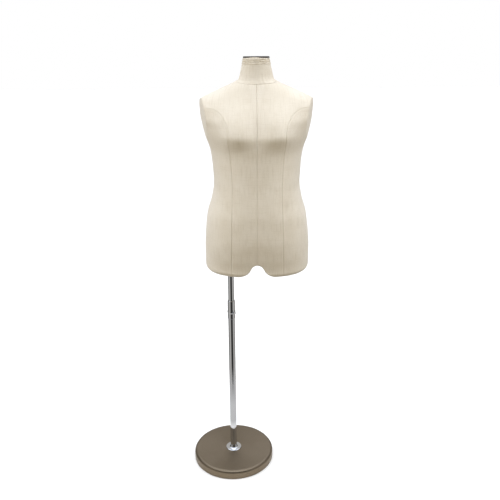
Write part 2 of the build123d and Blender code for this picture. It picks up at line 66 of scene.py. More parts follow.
# Horizontal sections of the covered torso, in mm: depth below the top, half width,
# reach to the front, reach to the back, front and back squareness.
SECTIONS = np.array([
    (0, 42.5, 46, 42, 2.0, 2.0),
    (38, 50.5, 48, 50, 2.0, 2.0),
    (70, 58.5, 53, 61, 2.0, 2.05),
    (81, 75, 58.5, 68.5, 2.0, 2.1),
    (97, 112, 69, 78, 2.0, 2.15),
    (116, 155, 81, 88, 2.0, 2.2),
    (139, 198, 97, 98, 1.95, 2.25),
    (162, 216, 113, 107, 1.9, 2.3),
    (190, 214, 129, 118, 1.9, 2.3),
    (222, 193, 143, 126, 1.9, 2.3),
    (258, 173, 155, 130, 1.95, 2.35),
    (305, 157, 157, 128, 2.05, 2.35),
    (355, 151, 158, 126, 2.2, 2.3),
    (410, 148, 162, 128, 2.3, 2.3),
    (462, 156, 169, 138, 2.3, 2.3),
    (522, 173, 175, 152, 2.35, 2.35),
    (586, 181, 176, 162, 2.4, 2.4),
    (648, 184, 168, 161, 2.5, 2.5),
    (702, 184, 158, 154, 2.6, 2.6),
])
# Rises on the sections: height, distance from the middle and its spread, depth
# below the top, and the spreads above and below it.
BREAST = (37, 89, 46, 241, 54, 30)
BLADE = (5, 80, 45, 195, 50, 60)
SEAT = (14, 78, 50, 612, 62, 60)
# Princess seams: (depth below the top, distance from the middle).
FRONT_SEAM = [(158, 176), (164, 137), (190, 107), (227, 93), (260, 91), (326, 85), (410, 81),
              (580, 85), (720, 88)]
BACK_SEAM = [(151, 204), (156, 180), (168, 137), (196, 110), (246, 95), (326, 85), (410, 79),
             (580, 86), (720, 90)]
NECK_SEAM = 74.0
NECK_TILT = math.tan(math.radians(11.0))
NECK_WARP_END = 122.0
HEM_R = 18.0
HEM_START = HEIGHT - HEM_R
# The flat armhole plane: a point on it, and how it leans.
ARM_HALF, ARM_Y, ARM_DEPTH = 200.0, 45.0, 118.0
ARM_TOE_IN, ARM_UNDERCUT = 0.20, 0.11
# The gap between the thighs: an arch whose sides slope out into a flare.
GAP_HEIGHT, GAP_TOP_HALF, GAP_FOOT_HALF, GAP_FLARE = 47.5, 12.0, 69.4, 52.0
GAP_LEAN = math.radians(30.0)
GAP_ROUND = 9.0                                   # the arch's corners are rounded over this height
GAP_TOP = HEIGHT - GAP_HEIGHT

ARM_NORMAL = np.array([1.0, -ARM_TOE_IN, -ARM_UNDERCUT])
ARM_NORMAL /= np.linalg.norm(ARM_NORMAL)
POLE_X = -MIDDLE_X                                # the pole, seen from the torso's middle
POLE_HOLE_R = 14.5

# Edges of the cloth, in mm: how far each is rolled in, and the puckers that run
# away from it: their height, spacing and reach.
SEAM = (0.55, 0.0, 20.0, 8.0)
NECK = (1.3, 0.28, 8.5, 9.0)
ARM = (3.0, 0.18, 13.0, 10.0)
GAP = (5.0, 0.45, 12.0, 16.0)
HEM = (1.8, 0.22, 10.0, 7.0)
ALLOWANCE_WIDTH, ALLOWANCE_RISE = 8.0, 0.30       # the seam allowance felt under the cloth
WEAVE_REPEAT = 0.00075                            # two threads of the plain weave, in metres


# ---- torso surface -----------------------------------------------------------

def monotone(xs, ys, at):
    """Monotone cubic through the points (xs, ys), read at the numbers in at."""
    xs = np.asarray(xs, float)
    ys = np.asarray(ys, float)
    steps = np.diff(xs)
    rises = np.diff(ys) / steps
    before, after = rises[:-1], rises[1:]
    product = before * after
    total = np.where(product > 0, before + after, 1.0)
    inner = np.where(product > 0, 2 * product / total, 0.0)
    slopes = np.concatenate([[rises[0]], inner, [0.0]])
    at = np.clip(at, xs[0], xs[-1])
    i = np.clip(np.searchsorted(xs, at, side="right") - 1, 0, len(steps) - 1)
    t = (at - xs[i]) / steps[i]
    near = (2 * t**3 - 3 * t**2 + 1) * ys[i] + (t**3 - 2 * t**2 + t) * steps[i] * slopes[i]
    far = (3 * t**2 - 2 * t**3) * ys[i + 1] + (t**3 - t**2) * steps[i] * slopes[i + 1]
    return near + far


def bump(x, depth, shape):
    """A smooth rise, one on each side of the middle plane."""
    height, x_mid, x_width, depth_mid, above, below = shape
    spread = np.where(depth < depth_mid, above, below)
    wide = ((np.abs(x) - x_mid) / x_width) ** 2
    tall = ((depth - depth_mid) / spread) ** 2
    return height * np.exp(-(wide + tall) / 2)


def skin(angle, depth):
    """x and y of the cover's outside, in mm from the torso's middle."""
    half, front, back, front_square, back_square = [
        monotone(SECTIONS[:, 0], SECTIONS[:, k], depth) for k in range(1, 6)]
    c, s = np.cos(angle), np.sin(angle)
    square = np.where(s < 0, front_square, back_square)
    x = half * np.sign(c) * np.abs(c) ** (2 / square)
    reach = np.abs(s) ** (2 / square)
    before = front * reach + bump(x, depth, BREAST) * np.abs(s)
    behind = back * reach + (bump(x, depth, BLADE) + bump(x, depth, SEAT)) * np.abs(s)
    return x, np.where(s < 0, -before, behind)


def angle_at_x(x, depth, way):
    """The angle where the section at that depth is x from the middle."""
    half = monotone(SECTIONS[:, 0], SECTIONS[:, 1], depth)
    square = monotone(SECTIONS[:, 0], SECTIONS[:, 4 if way < 0 else 5], depth)
    c = np.clip(np.asarray(x) / half, 0, 1) ** (square / 2)
    return way * np.arccos(c)


def surface(angle, depth):
    """Points of the skin as an array (..., 3) in mm, with the hem rolled under."""
    under = np.clip(depth - HEM_START, 0, HEM_R)
    x, y = skin(angle, np.minimum(depth, HEM_START))
    if np.any(under > 0):
        ahead = skin(angle + 0.01, np.minimum(depth, HEM_START))
        behind = skin(angle - 0.01, np.minimum(depth, HEM_START))
        tx, ty = ahead[0] - behind[0], ahead[1] - behind[1]
        size = np.hypot(tx, ty)
        draw_in = HEM_R - np.sqrt(np.maximum(HEM_R**2 - under**2, 0))
        x = x - ty / size * draw_in
        y = y + tx / size * draw_in
    return np.stack([x, y, -depth], -1)


def warped(row, angle):
    """Depth of a row at an angle: near the neck, rows follow the tilted neck seam."""
    t = np.clip((NECK_WARP_END - row) / (NECK_WARP_END - NECK_SEAM), 0, 1)
    share = t * t * (3 - 2 * t)
    depth = np.broadcast_to(row, np.broadcast(row, angle).shape).astype(float)
    start = depth.copy()
    for _ in range(12):
        depth = start - share * NECK_TILT * skin(angle, depth)[1]
    return depth


def past_arm(angle, depth):
    """How far a point of the left side lies beyond the armhole plane, along x."""
    x, y = skin(angle, depth)
    return x - (ARM_HALF + ARM_TOE_IN * (y - ARM_Y) - ARM_UNDERCUT * (depth - ARM_DEPTH))


def arm_limits():
    """Depths of the armhole's top and bottom and the angles of those two points."""
    depths = np.arange(90.0, 330.0, 0.25)
    angles = np.radians(np.linspace(-70, 70, 561))
    beyond = past_arm(angles[None, :], depths[:, None])
    cut = beyond.max(axis=1) > 0
    best = angles[beyond.argmax(axis=1)]
    first = int(np.argmax(cut))
    last = first + int(np.argmin(cut[first:])) - 1
    return depths[first], best[first], depths[last], best[last]


ARM_TOP, ARM_TOP_ANGLE, ARM_LOW, ARM_LOW_ANGLE = arm_limits()


def smooth(t):
    """Eases a share from 0 to 1, flat at both ends."""
    t = np.clip(t, 0, 1)
    return t * t * (3 - 2 * t)


def side_angle(depth):
    """The shoulder seam above the armhole and the side seam below it."""
    above = ARM_TOP_ANGLE * smooth((depth - NECK_SEAM) / (ARM_TOP - NECK_SEAM))
    below = ARM_LOW_ANGLE * smooth(1 - (depth - ARM_LOW) / 110.0)
    return np.where(depth <= (ARM_TOP + ARM_LOW) / 2, above, below)


def arm_edge(row, way):
    """The angle of the armhole's front (-1) or back (+1) edge on one row."""
    side = float(side_angle(np.array(row)))
    if row <= ARM_TOP or row >= ARM_LOW:
        return side
    angles = np.radians(np.linspace(-75, 75, 1201))
    beyond = past_arm(angles, warped(row, angles))
    inside = np.nonzero(beyond > 0)[0]
    if len(inside) == 0:
        return side
    k = inside[0] if way < 0 else inside[-1]
    other = k - 1 if way < 0 else k + 1
    share = beyond[k] / (beyond[k] - beyond[other])
    return float(angles[k] + share * (angles[other] - angles[k]))


def princess_angle(depth, way):
    """The angle of the left princess seam at one depth."""
    seam = np.array(FRONT_SEAM if way < 0 else BACK_SEAM, float)
    x = monotone(seam[:, 0], seam[:, 1], float(depth))
    return float(angle_at_x(x, float(depth), way))


def crossing(way):
    """The depth where the princess seam runs into the armhole."""
    low, high = ARM_TOP + 1, ARM_TOP + 90
    for _ in range(40):
        middle = (low + high) / 2
        outside = abs(princess_angle(middle, way)) < abs(arm_edge(middle, way))
        low, high = (middle, high) if outside else (low, middle)
    return high


CROSS = {-1: crossing(-1), 1: crossing(1)}


def gap_half(depth):
    """Half width of the gap between the thighs at a depth; its arch is rounded over."""
    height = HEIGHT - np.asarray(depth, float)
    slope = GAP_TOP_HALF + (GAP_HEIGHT - height) * math.tan(GAP_LEAN)
    rise = np.clip(GAP_FLARE - height, 0, GAP_FLARE)
    flare = GAP_FOOT_HALF - np.sqrt(GAP_FLARE**2 - rise**2)
    half = np.where(height > GAP_FLARE * (1 - math.sin(GAP_LEAN)), slope, flare)
    t = np.clip((GAP_HEIGHT - height) / GAP_ROUND, 0, 1)
    return half * np.sqrt(1 - (1 - t) ** 2)


def rolled(distance, radius):
    """How deep an edge is rolled in at a distance from it: a quarter round."""
    t = np.clip((radius - distance) / radius, 0, 1)
    return radius * (1 - np.sqrt(1 - t * t))


def steps(start, end, spacing, power=1.0):
    """Numbers from start to end, about spacing apart; above 1 they crowd at the start."""
    count = max(4, int(math.ceil((end - start) / spacing)))
    return start + (end - start) * np.linspace(0, 1, count + 1) ** power


def joined(*parts):
    """Several runs of depths as one, each depth once."""
    return np.unique(np.round(np.concatenate(parts), 4))


def across(first, last, depth, count):
    """Angles from first to last on one row, crowded in length at both ends."""
    fine = np.linspace(first, last, 161)
    x, y = skin(fine, np.full_like(fine, min(depth, HEM_START)))
    run = np.concatenate([[0], np.cumsum(np.hypot(np.diff(x), np.diff(y)))])
    even = np.linspace(0, 1, count)
    t = 0.45 * even + 0.55 * (1 - np.cos(math.pi * even)) / 2
    return np.interp(t * run[-1], run, fine)


def panel(rows, inner, outer, count):
    """Grid of points; each row runs from the inner to the outer boundary's angle."""
    lines = []
    for row in rows:
        angle = across(inner(row), outer(row), row, count)
        lines.append(surface(angle, warped(row, angle)))
    return np.array(lines)


def grid_normals(points):
    """Unit normals of a grid of points on the left or whole torso, pointing out."""
    rows, columns = points.shape[:2]
    normal = np.cross(np.gradient(points, axis=1), np.gradient(points, axis=0))
    size = np.linalg.norm(normal, axis=-1, keepdims=True)
    normal = normal / np.maximum(size, 1e-9)
    weak = size[..., 0] < 1e-7
    if weak.any():
        good = normal[~weak]
        normal[weak] = good[0]
    middle = points[rows // 2, columns // 2] * [1, 1, 0]
    return normal if middle @ normal[rows // 2, columns // 2] > 0 else -normal


def run_length(line):
    """Distance along a line of points from its first one."""
    return np.concatenate([[0], np.cumsum(np.linalg.norm(np.diff(line, axis=0), axis=1))])


def densely(line, spacing=0.5):
    """A line of points resampled closely, and the distance along it of each point."""
    run = run_length(line)
    count = max(2, int(run[-1] / spacing) + 1)
    at = np.unique(np.concatenate([np.linspace(0, run[-1], count), run]))
    return np.stack([np.interp(at, run, line[:, k]) for k in range(3)], -1), at


def nearness(points, line, reach=50.0):
    """For each point: distance to the line, and how far along the line that is."""
    dense, along = densely(line)
    tree = kdtree.KDTree(len(dense))
    for i, p in enumerate(dense):
        tree.insert(p, i)
    tree.balance()
    flat = points.reshape(-1, 3)
    close = np.all((flat > dense.min(axis=0) - reach) & (flat < dense.max(axis=0) + reach), axis=1)
    distance = np.full(len(flat), 1e3)
    where = np.zeros(len(flat))
    found = [tree.find(p) for p in flat[close]]
    distance[close] = [f[2] for f in found]
    where[close] = along[[f[1] for f in found]]
    return distance.reshape(points.shape[:-1]), where.reshape(points.shape[:-1])


def waviness(points, seed):
    """A slow unevenness of hand-stretched cloth, in mm."""
    draw = np.random.default_rng(seed)
    total = np.zeros(points.shape[:-1])
    for period, size in ((120.0, 0.30), (60.0, 0.16), (27.0, 0.07)):
        for _ in range(5):
            way = draw.normal(size=3)
            way *= 2 * math.pi / period / np.linalg.norm(way)
            total += size / 2 * np.sin(points @ way + draw.uniform(0, 2 * math.pi))
    return total


def puckers(distance, along, kind, seed):
    """Small folds that run away from an edge."""
    radius, height, spacing, reach = kind
    draw = np.random.default_rng(seed)
    phase = 2 * math.pi * along / spacing
    drift = sum(draw.uniform(0.4, 1.2) * np.sin(phase * draw.uniform(0.1, 0.45) + draw.uniform(0, 6))
                for _ in range(3))
    strength = 0.6 + 0.4 * np.sin(phase * 0.13 + draw.uniform(0, 6))
    fade = np.exp(-distance / reach) * (1 - np.exp(-distance / 2.0))
    return height * strength * fade * np.sin(phase + drift)


def shaped(points, edges, seed):
    """The grid with its edges rolled in and the cloth uneven, and its distance to a seam.

    An edge is (line of points, kind).  Armhole edges also turn over towards the plate.
    """
    normal = grid_normals(points)
    deep = np.zeros(points.shape[:-1])
    over = np.zeros(points.shape[:-1])
    rise = np.zeros(points.shape[:-1])
    nearest = np.full(points.shape[:-1], 1e3)
    for k, (line, kind) in enumerate(edges):
        distance, along = nearness(points, line)
        nearest = np.minimum(nearest, distance)
        deep = np.maximum(deep, rolled(distance, kind[0]))
        if kind is ARM:
            over = np.maximum(over, rolled(distance, 2.0))
        if kind is SEAM:
            t = smooth((ALLOWANCE_WIDTH + 1.5 - distance) / 3.0)
            rise = np.maximum(rise, ALLOWANCE_RISE * t)
        if kind[1]:
            rise = rise + puckers(distance, along, kind, seed + 11 * k)
    rise = rise * np.clip(nearest / 2.5, 0, 1)
    rise = rise + waviness(points, seed) * (1 - np.exp(-nearest / 8.0))
    moved = points + normal * (rise - deep)[..., None] - ARM_NORMAL * over[..., None]
    return moved, nearest


# ---- making meshes -----------------------------------------------------------

def grid_faces(rows, columns, closed=False):
    """Quads of a grid, wrapped round when closed."""
    faces = []
    last = columns if closed else columns - 1
    for j in range(rows - 1):
        for i in range(last):
            k = (i + 1) % columns
            faces.append((j * columns + i, j * columns + k, (j + 1) * columns + k, (j + 1) * columns + i))
    return faces


def to_frame(points, side=1):
    """Torso millimetres to metres in the row frame; side -1 mirrors to the right."""
    return (points * [side, 1, 1] + [MIDDLE_X, 0, TOP_Z]) * MM


def new_piece(name, points, faces, material, body, cloth=None):
    """A smooth-shaded mesh object that rides on a body."""
    mesh = bpy.data.meshes.new(name)
    mesh.from_pydata([tuple(v) for v in points], [], faces)
    if cloth is not None:
        data = mesh.attributes.new("cloth", "FLOAT_VECTOR", "POINT")
        data.data.foreach_set("vector", np.asarray(cloth, np.float32).ravel())
    mesh.polygons.foreach_set("use_smooth", [True] * len(mesh.polygons))
    mesh.materials.append(material)
    mesh.update()
    piece = bpy.data.objects.new(name, mesh)
    bpy.context.scene.collection.objects.link(piece)
    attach(piece, body)
    return piece


def face_outwards(mesh, outward):
    """Turns all faces over when, on the whole, they look against outward."""
    turned = bmesh.new()
    turned.from_mesh(mesh)
    total = sum(f.normal.dot(outward(f.calc_center_median())) * f.calc_area() for f in turned.faces)
    if total < 0:
        bmesh.ops.reverse_faces(turned, faces=turned.faces)
    turned.to_mesh(mesh)
    turned.free()
    mesh.update()


def thicken(piece, thickness):
    """Gives a piece its thickness, on the inside."""
    solid = piece.modifiers.new("thickness", "SOLIDIFY")
    solid.thickness = thickness * MM
    solid.offset = -1
    solid.use_rim = True


def linen_piece(name, points, faces, cloth, side, outward, nodes=()):
    """A linen piece of given points."""
    piece = new_piece(name, to_frame(points, side).reshape(-1, 3), faces, LINEN, "torso", cloth)
    face_outwards(piece.data, outward)
    thicken(piece, CLOTH)
    if nodes:
        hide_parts(*nodes)


def from_axis(centre):
    """Direction away from the torso's axis."""
    return Vector((centre.x - MIDDLE_X * MM, centre.y, 0))


def cloth_of_grid(points, nearest, start=0.0):
    """Place in the weave: across from the row's start, down the column, seam distance."""
    gaps = np.linalg.norm(np.diff(points, axis=1), axis=-1)
    u = np.concatenate([np.zeros((len(points), 1)), np.cumsum(gaps, axis=1)], axis=1)
    u = u + np.reshape(start, (-1, 1))
    v = np.broadcast_to(-points[..., 2], u.shape)
    return (np.stack([u, v, nearest], -1) * MM).reshape(-1, 3)


def disc(loop, centre, normal, hole_r, seed, kind, dome=0.0):
    """Points, faces, weave places and cut of a flat cloth disc inside a loop of points."""
    normal = np.asarray(normal, float)
    axis_u = np.cross([0.0, 1.0, 0.0] if abs(normal[2]) > 0.9 else [0.0, 0.0, 1.0], normal)
    axis_u /= np.linalg.norm(axis_u)
    axis_v = np.cross(normal, axis_u)
    flat = loop - centre
    rim = np.stack([flat @ axis_u, flat @ axis_v], -1)
    lift = flat @ normal
    reach = np.linalg.norm(rim, axis=1)
    way = rim / reach[:, None]
    rings = 1 - np.concatenate([steps(0, 0.14, 0.012, 1.3), steps(0.18, 0.96, 0.05)])
    points = []
    for t in rings:
        radius = hole_r + (reach - hole_r) * t
        place = way * radius[:, None]
        points.append(centre + place[:, :1] * axis_u + place[:, 1:] * axis_v)
    points = np.array(points)
    distance, along = nearness(points, loop)
    share = rings[:, None]
    up = dome * (1 - share**2) + waviness(points, seed) * (1 - np.exp(-distance / 8.0))
    up = up + puckers(distance, along, kind, seed + 3) * np.clip(distance / 2.5, 0, 1)
    up = up - rolled(distance, 2.4) * 0.9
    edge = lift[None, :] * np.exp(-distance / 3.0)
    up = np.where(distance < 1e-6, lift[None, :], up * (1 - np.exp(-distance / 0.8)) + edge)
    points = points + up[..., None] * normal
    place = points - centre
    cloth = np.stack([place @ axis_u, place @ axis_v, distance], -1) * MM
    rows, columns = points.shape[:2]
    faces = grid_faces(rows, columns, closed=True)
    points = points.reshape(-1, 3)
    cloth = cloth.reshape(-1, 3)
    if hole_r == 0:
        points = np.vstack([points, centre + normal * dome])
        cloth = np.vstack([cloth, [[0, 0, reach.min() * MM]]])
        last = (rows - 1) * columns
        faces += [(last + i, last + (i + 1) % columns, rows * columns) for i in range(columns)]
    spans = (float(np.ptp(rim[:, 0])), float(np.ptp(rim[:, 1])))
    return points, faces, cloth, spans


# ---- materials ---------------------------------------------------------------

class Nodes:
    """Short calls for building one material's node tree."""

    def __init__(self, name):
        self.material = bpy.data.materials.new(name)
        self.material.use_nodes = True
        self.tree = self.material.node_tree
        self.shader = self.tree.nodes["Principled BSDF"]

    def add(self, kind, inputs=None, **settings):
        node = self.tree.nodes.new(kind)
        for key, value in settings.items():
            setattr(node, key, value)
        for key, value in (inputs or {}).items():
            self.put(node.inputs[key], value)
        return node

    def put(self, socket, value):
        if isinstance(value, bpy.types.NodeSocket):
            self.tree.links.new(value, socket)
        else:
            socket.default_value = value

    def math(self, operation, a, b=0.0, clamp=False):
        node = self.add("ShaderNodeMath", {0: a, 1: b}, operation=operation)
        node.use_clamp = clamp
        return node.outputs[0]

    def noise(self, vector, scale, detail=3.0, roughness=0.55):
        node = self.add("ShaderNodeTexNoise", {"Vector": vector, "Scale": scale, "Detail": detail,
                                               "Roughness": roughness})
        return node.outputs["Fac"]

    def stretched(self, vector, scales):
        return self.add("ShaderNodeVectorMath", {0: vector, 1: scales}, operation="MULTIPLY").outputs[0]

    def span(self, value, low, high, out_low, out_high):
        node = self.add("ShaderNodeMapRange", {"Value": value, "From Min": low, "From Max": high,
                                               "To Min": out_low, "To Max": out_high})
        return node.outputs["Result"]

    def mix(self, share, a, b):
        node = self.add("ShaderNodeMix", data_type="RGBA")
        self.put(node.inputs["Factor"], share)
        self.put(node.inputs["A"], a)
        self.put(node.inputs["B"], b)
        return node.outputs["Result"]

    def bump(self, height, distance, strength):
        node = self.add("ShaderNodeBump", {"Height": height, "Distance": distance, "Strength": strength})
        self.tree.links.new(node.outputs["Normal"], self.shader.inputs["Normal"])

    def set(self, **values):
        names = {"color": "Base Color", "roughness": "Roughness", "metallic": "Metallic",
                 "specular": "Specular IOR Level", "sheen": "Sheen Weight",
                 "sheen_roughness": "Sheen Roughness", "anisotropic": "Anisotropic"}
        for key, value in values.items():
            self.put(self.shader.inputs[names[key]], value)


def grey(value):
    """A neutral colour of that brightness."""
    return (value, value, value, 1.0)


def linen_material():
    """Undyed plain-weave linen: threads, slubs and flecks, with painted shade between the threads and along
    the seams.
    """
    m = Nodes("linen")
    cloth = m.add("ShaderNodeAttribute", attribute_name="cloth").outputs["Vector"]
    parts = m.add("ShaderNodeSeparateXYZ", {0: cloth})
    u, v, seam = parts.outputs
    flat = m.add("ShaderNodeCombineXYZ", {0: u, 1: v, 2: 0.0}).outputs[0]

    thread = 2 * math.pi / WEAVE_REPEAT
    wander_u = m.math("MULTIPLY", m.noise(m.stretched(flat, (8.0, 260.0, 1.0)), 1.0), 5.0)
    wander_v = m.math("MULTIPLY", m.noise(m.stretched(flat, (260.0, 8.0, 1.0)), 1.0), 5.0)
    warp = m.math("SINE", m.math("ADD", m.math("MULTIPLY", u, thread), wander_v))
    weft = m.math("SINE", m.math("ADD", m.math("MULTIPLY", v, thread), wander_u))
    weave = m.math("MULTIPLY", warp, weft)

    slub_u = m.noise(m.stretched(flat, (55.0, 1150.0, 1.0)), 1.0, 3.0, 0.6)
    slub_v = m.noise(m.stretched(flat, (1150.0, 55.0, 1.0)), 1.0, 3.0, 0.6)
    slubs = m.math("ADD", m.span(slub_u, 0.52, 0.80, 0.0, 1.0), m.span(slub_v, 0.54, 0.82, 0.0, 0.8))
    coarse_u = m.noise(m.stretched(flat, (22.0, 330.0, 1.0)), 1.0, 2.0, 0.6)
    coarse_v = m.noise(m.stretched(flat, (330.0, 18.0, 1.0)), 1.0, 2.0, 0.6)
    patches = m.noise(flat, 14.0, 3.0)
    flecks = m.span(m.noise(m.stretched(flat, (420.0, 900.0, 1.0)), 1.0, 1.0), 0.74, 0.80, 0.0, 1.0)

    tone = m.mix(m.span(patches, 0.35, 0.65, 0.0, 1.0), (0.730, 0.650, 0.520, 1), (0.770, 0.695, 0.570, 1))
    tone = m.mix(m.span(coarse_v, 0.50, 0.75, 0.0, 0.55), tone, (0.610, 0.530, 0.395, 1))
    tone = m.mix(m.span(coarse_u, 0.52, 0.78, 0.0, 0.40), tone, (0.610, 0.530, 0.395, 1))
    tone = m.mix(m.math("MULTIPLY", slubs, 0.30, clamp=True), tone, (0.860, 0.810, 0.720, 1))
    tone = m.mix(m.math("MULTIPLY", flecks, 0.35), tone, (0.360, 0.280, 0.180, 1))
    # Painted shade: the low places of the weave, between the threads, are darkened.
    low = m.span(weave, -1.0, 1.0, 0.22, 0.0)
    tone = m.mix(low, tone, (0.480, 0.405, 0.290, 1))
    # Painted shade: the linen is darkened within a millimetre of each seam.
    shade = m.span(seam, 0.0, 0.0010, 0.10, 0.0)
    tone = m.mix(shade, tone, (0.480, 0.405, 0.290, 1))
    m.set(color=tone, roughness=0.92, specular=0.2, sheen=0.25, sheen_roughness=0.45)

    height = m.math("ADD", m.math("MULTIPLY", weave, 0.4), m.math("MULTIPLY", slubs, 0.55))
    m.bump(height, 0.00022, 0.7)
    return m.material


def chrome_material():
    """Polished chrome plate with a faint haze and hairline scratches along the tube."""
    m = Nodes("chrome")
    place = m.add("ShaderNodeTexCoord").outputs["Object"]
    haze = m.noise(place, 24.0, 4.0)
    hair = m.noise(m.stretched(place, (1500.0, 1500.0, 30.0)), 1.0, 2.0)
    rough = m.math("ADD", m.span(haze, 0.35, 0.70, 0.045, 0.095), m.span(hair, 0.60, 0.80, 0.0, 0.05))
    m.set(color=(0.80, 0.81, 0.83, 1), metallic=1.0, roughness=rough)
    m.bump(hair, 0.00003, 0.12)
    return m.material


def base_material():
    """Satin champagne nickel, brushed in circles, with fine specks of wear."""
    m = Nodes("base_metal")
    place = m.add("ShaderNodeTexCoord").outputs["Object"]
    x, y, z = m.add("ShaderNodeSeparateXYZ", {0: place}).outputs
    radius = m.math("SQRT", m.math("ADD", m.math("MULTIPLY", x, x), m.math("MULTIPLY", y, y)))
    turn = m.math("ARCTAN2", y, x)
    ring = m.add("ShaderNodeCombineXYZ", {0: m.math("MULTIPLY", radius, 2600.0),
                                          1: m.math("MULTIPLY", turn, 5.0),
                                          2: m.math("MULTIPLY", z, 1800.0)}).outputs[0]
    brush = m.noise(ring, 1.0, 3.0, 0.6)
    cloud = m.noise(place, 9.0, 4.0)
    dust = m.noise(place, 900.0, 2.0)
    tone = m.mix(m.span(cloud, 0.3, 0.7, 0.0, 1.0), (0.184, 0.143, 0.095, 1), (0.212, 0.168, 0.116, 1))
    tone = m.mix(m.span(brush, 0.35, 0.70, 0.0, 0.35), tone, (0.285, 0.233, 0.170, 1))
    rough = m.math("ADD", m.span(cloud, 0.3, 0.7, 0.30, 0.38), m.span(brush, 0.3, 0.7, 0.0, 0.08))
    rough = m.math("ADD", rough, m.span(dust, 0.62, 0.74, 0.0, 0.06))
    m.set(color=tone, metallic=0.85, roughness=rough, anisotropic=0.55)
    round_axis = m.add("ShaderNodeTangent", direction_type="RADIAL", axis="Z")
    m.put(m.shader.inputs["Tangent"], round_axis.outputs[0])
    m.bump(brush, 0.00006, 0.25)
    return m.material


def plain_material(name, color, roughness, grain, depth, vary=0.12, metallic=0.0):
    """A matt or metal surface with fine grain and a slow change of tone."""
    m = Nodes(name)
    place = m.add("ShaderNodeTexCoord").outputs["Object"]
    fine = m.noise(place, grain, 3.0)
    slow = m.noise(place, 18.0, 3.0)
    dark = tuple(c * (1 - vary) for c in color) + (1.0,)
    light = tuple(min(1.0, c * (1 + vary)) for c in color) + (1.0,)
    tone = m.mix(m.span(slow, 0.35, 0.65, 0.0, 1.0), dark, light)
    tone = m.mix(m.span(fine, 0.45, 0.70, 0.0, 0.25), tone, light)
    m.set(color=tone, metallic=metallic, roughness=m.span(fine, 0.3, 0.7, roughness - 0.06, roughness + 0.06))
    m.bump(fine, depth, 0.5)
    return m.material


def wadding_material():
    """Bonded polyester wadding: soft tangled fibres."""
    m = Nodes("padding")
    place = m.add("ShaderNodeTexCoord").outputs["Object"]
    fibre = m.noise(m.stretched(place, (900.0, 260.0, 900.0)), 1.0, 4.0, 0.7)
    cloud = m.noise(place, 60.0, 3.0)
    tone = m.mix(m.span(fibre, 0.35, 0.65, 0.0, 1.0), (0.70, 0.69, 0.65, 1), (0.86, 0.85, 0.82, 1))
    tone = m.mix(m.span(cloud, 0.4, 0.7, 0.0, 0.4), tone, (0.78, 0.76, 0.71, 1))
    m.set(color=tone, roughness=0.95, sheen=0.4, sheen_roughness=0.5)
    m.bump(fibre, 0.0006, 0.6)
    return m.material


LINEN = linen_material()
WADDING = wadding_material()
FINISHES = {
    "chrome": chrome_material(),
    "base_metal": base_material(),
    "cap": plain_material("cap", (0.055, 0.046, 0.040), 0.50, 700.0, 0.00010),
    "steel": plain_material("steel", (0.56, 0.56, 0.55), 0.34, 900.0, 0.00004, 0.10, 1.0),
    "cement": plain_material("cement", (0.34, 0.335, 0.32), 0.90, 260.0, 0.00060),
    "nylon": plain_material("nylon", (0.030, 0.030, 0.032), 0.42, 800.0, 0.00004),
    "rubber": plain_material("rubber", (0.022, 0.022, 0.023), 0.85, 500.0, 0.00020),
    "board": plain_material("board", (0.42, 0.315, 0.205), 0.80, 420.0, 0.00025),
    "fibreglass": plain_material("fibreglass", (0.46, 0.435, 0.335), 0.38, 240.0, 0.00030),
}
for part in frame["record"]["subparts"]:
    if part["material_slot"] in FINISHES:
        node = frame["nodes"][part["node"]]
        node.data.materials.clear()
        node.data.materials.append(FINISHES[part["material_slot"]])


# ---- linen cover -------------------------------------------------------------

ROW = 2.5                                         # usual distance between rows
CENTRE_COLUMNS, SIDE_COLUMNS = 60, 46
GUSSET_COLUMNS = 60
TUCK = ((3, 1.2), (5, 0.8))                       # the gusset's ends turn in: out and up, in mm
NECK_R = 46.0                                     # mean radius of the neck
NECK_FOLDS = ((6.6, 1.15), (4.3, 0.45))           # two runs of folds: spacing and height, in mm
FOLDS_END = 29.0                                  # how far below the top the folds reach
HEM_ROWS = HEM_START + HEM_R * np.sin(np.linspace(0, math.pi / 2, 17))


def centre_rows(way):
    """Rows of a centre panel, closer where an edge turns or a seam runs across."""
    return joined(
        steps(NECK_SEAM, ARM_TOP, 1.6, 1.4),
        steps(ARM_TOP, CROSS[way], 1.2, 1.7),
        steps(CROSS[way], CROSS[way] + 40, 1.0, 1.8),
        steps(CROSS[way] + 40, GAP_TOP - 12, ROW),
        steps(GAP_TOP - 12, GAP_TOP, 0.8),
        steps(GAP_TOP, HEM_START, 0.7, 1.7),
        HEM_ROWS)


def side_rows(way):
    """Rows of a side panel, from where its two seams part."""
    start = CROSS[way] + 0.4
    return joined(
        steps(start, start + 40, 1.0, 1.8),
        steps(start + 40, ARM_LOW - 25, ROW),
        ARM_LOW - steps(0, 25, 0.7, 1.6),
        steps(ARM_LOW, ARM_LOW + 10, 1.2),
        steps(ARM_LOW + 10, HEM_START, ROW),
        HEM_ROWS)


def centre_panel(way, seed):
    """Left front (-1) or back (+1) centre panel, with its edges and its row depths."""
    rows = centre_rows(way)
    quarter = way * math.pi / 2

    def inner(row):
        return float(angle_at_x(gap_half(row), row, way)) if row > GAP_TOP else quarter

    def outer(row):
        return arm_edge(row, way) if row <= CROSS[way] else princess_angle(row, way)

    points = panel(rows, inner, outer, CENTRE_COLUMNS)
    top, low = rows <= GAP_TOP + 1e-6, rows >= GAP_TOP - 1e-6
    in_arm = (rows >= ARM_TOP - 1e-6) & (rows <= CROSS[way] + 1e-6)
    edges = [
        (points[0], NECK), (points[-1], HEM),
        (points[top, 0], SEAM), (points[low, 0], GAP),
        (points[rows <= ARM_TOP + 1e-6, -1], SEAM), (points[in_arm, -1], ARM),
        (points[rows >= CROSS[way] - 1e-6, -1], SEAM),
    ]
    moved, nearest = shaped(points, edges, seed)
    return {"points": moved, "nearest": nearest, "rows": rows, "arm": in_arm, "gap": low}


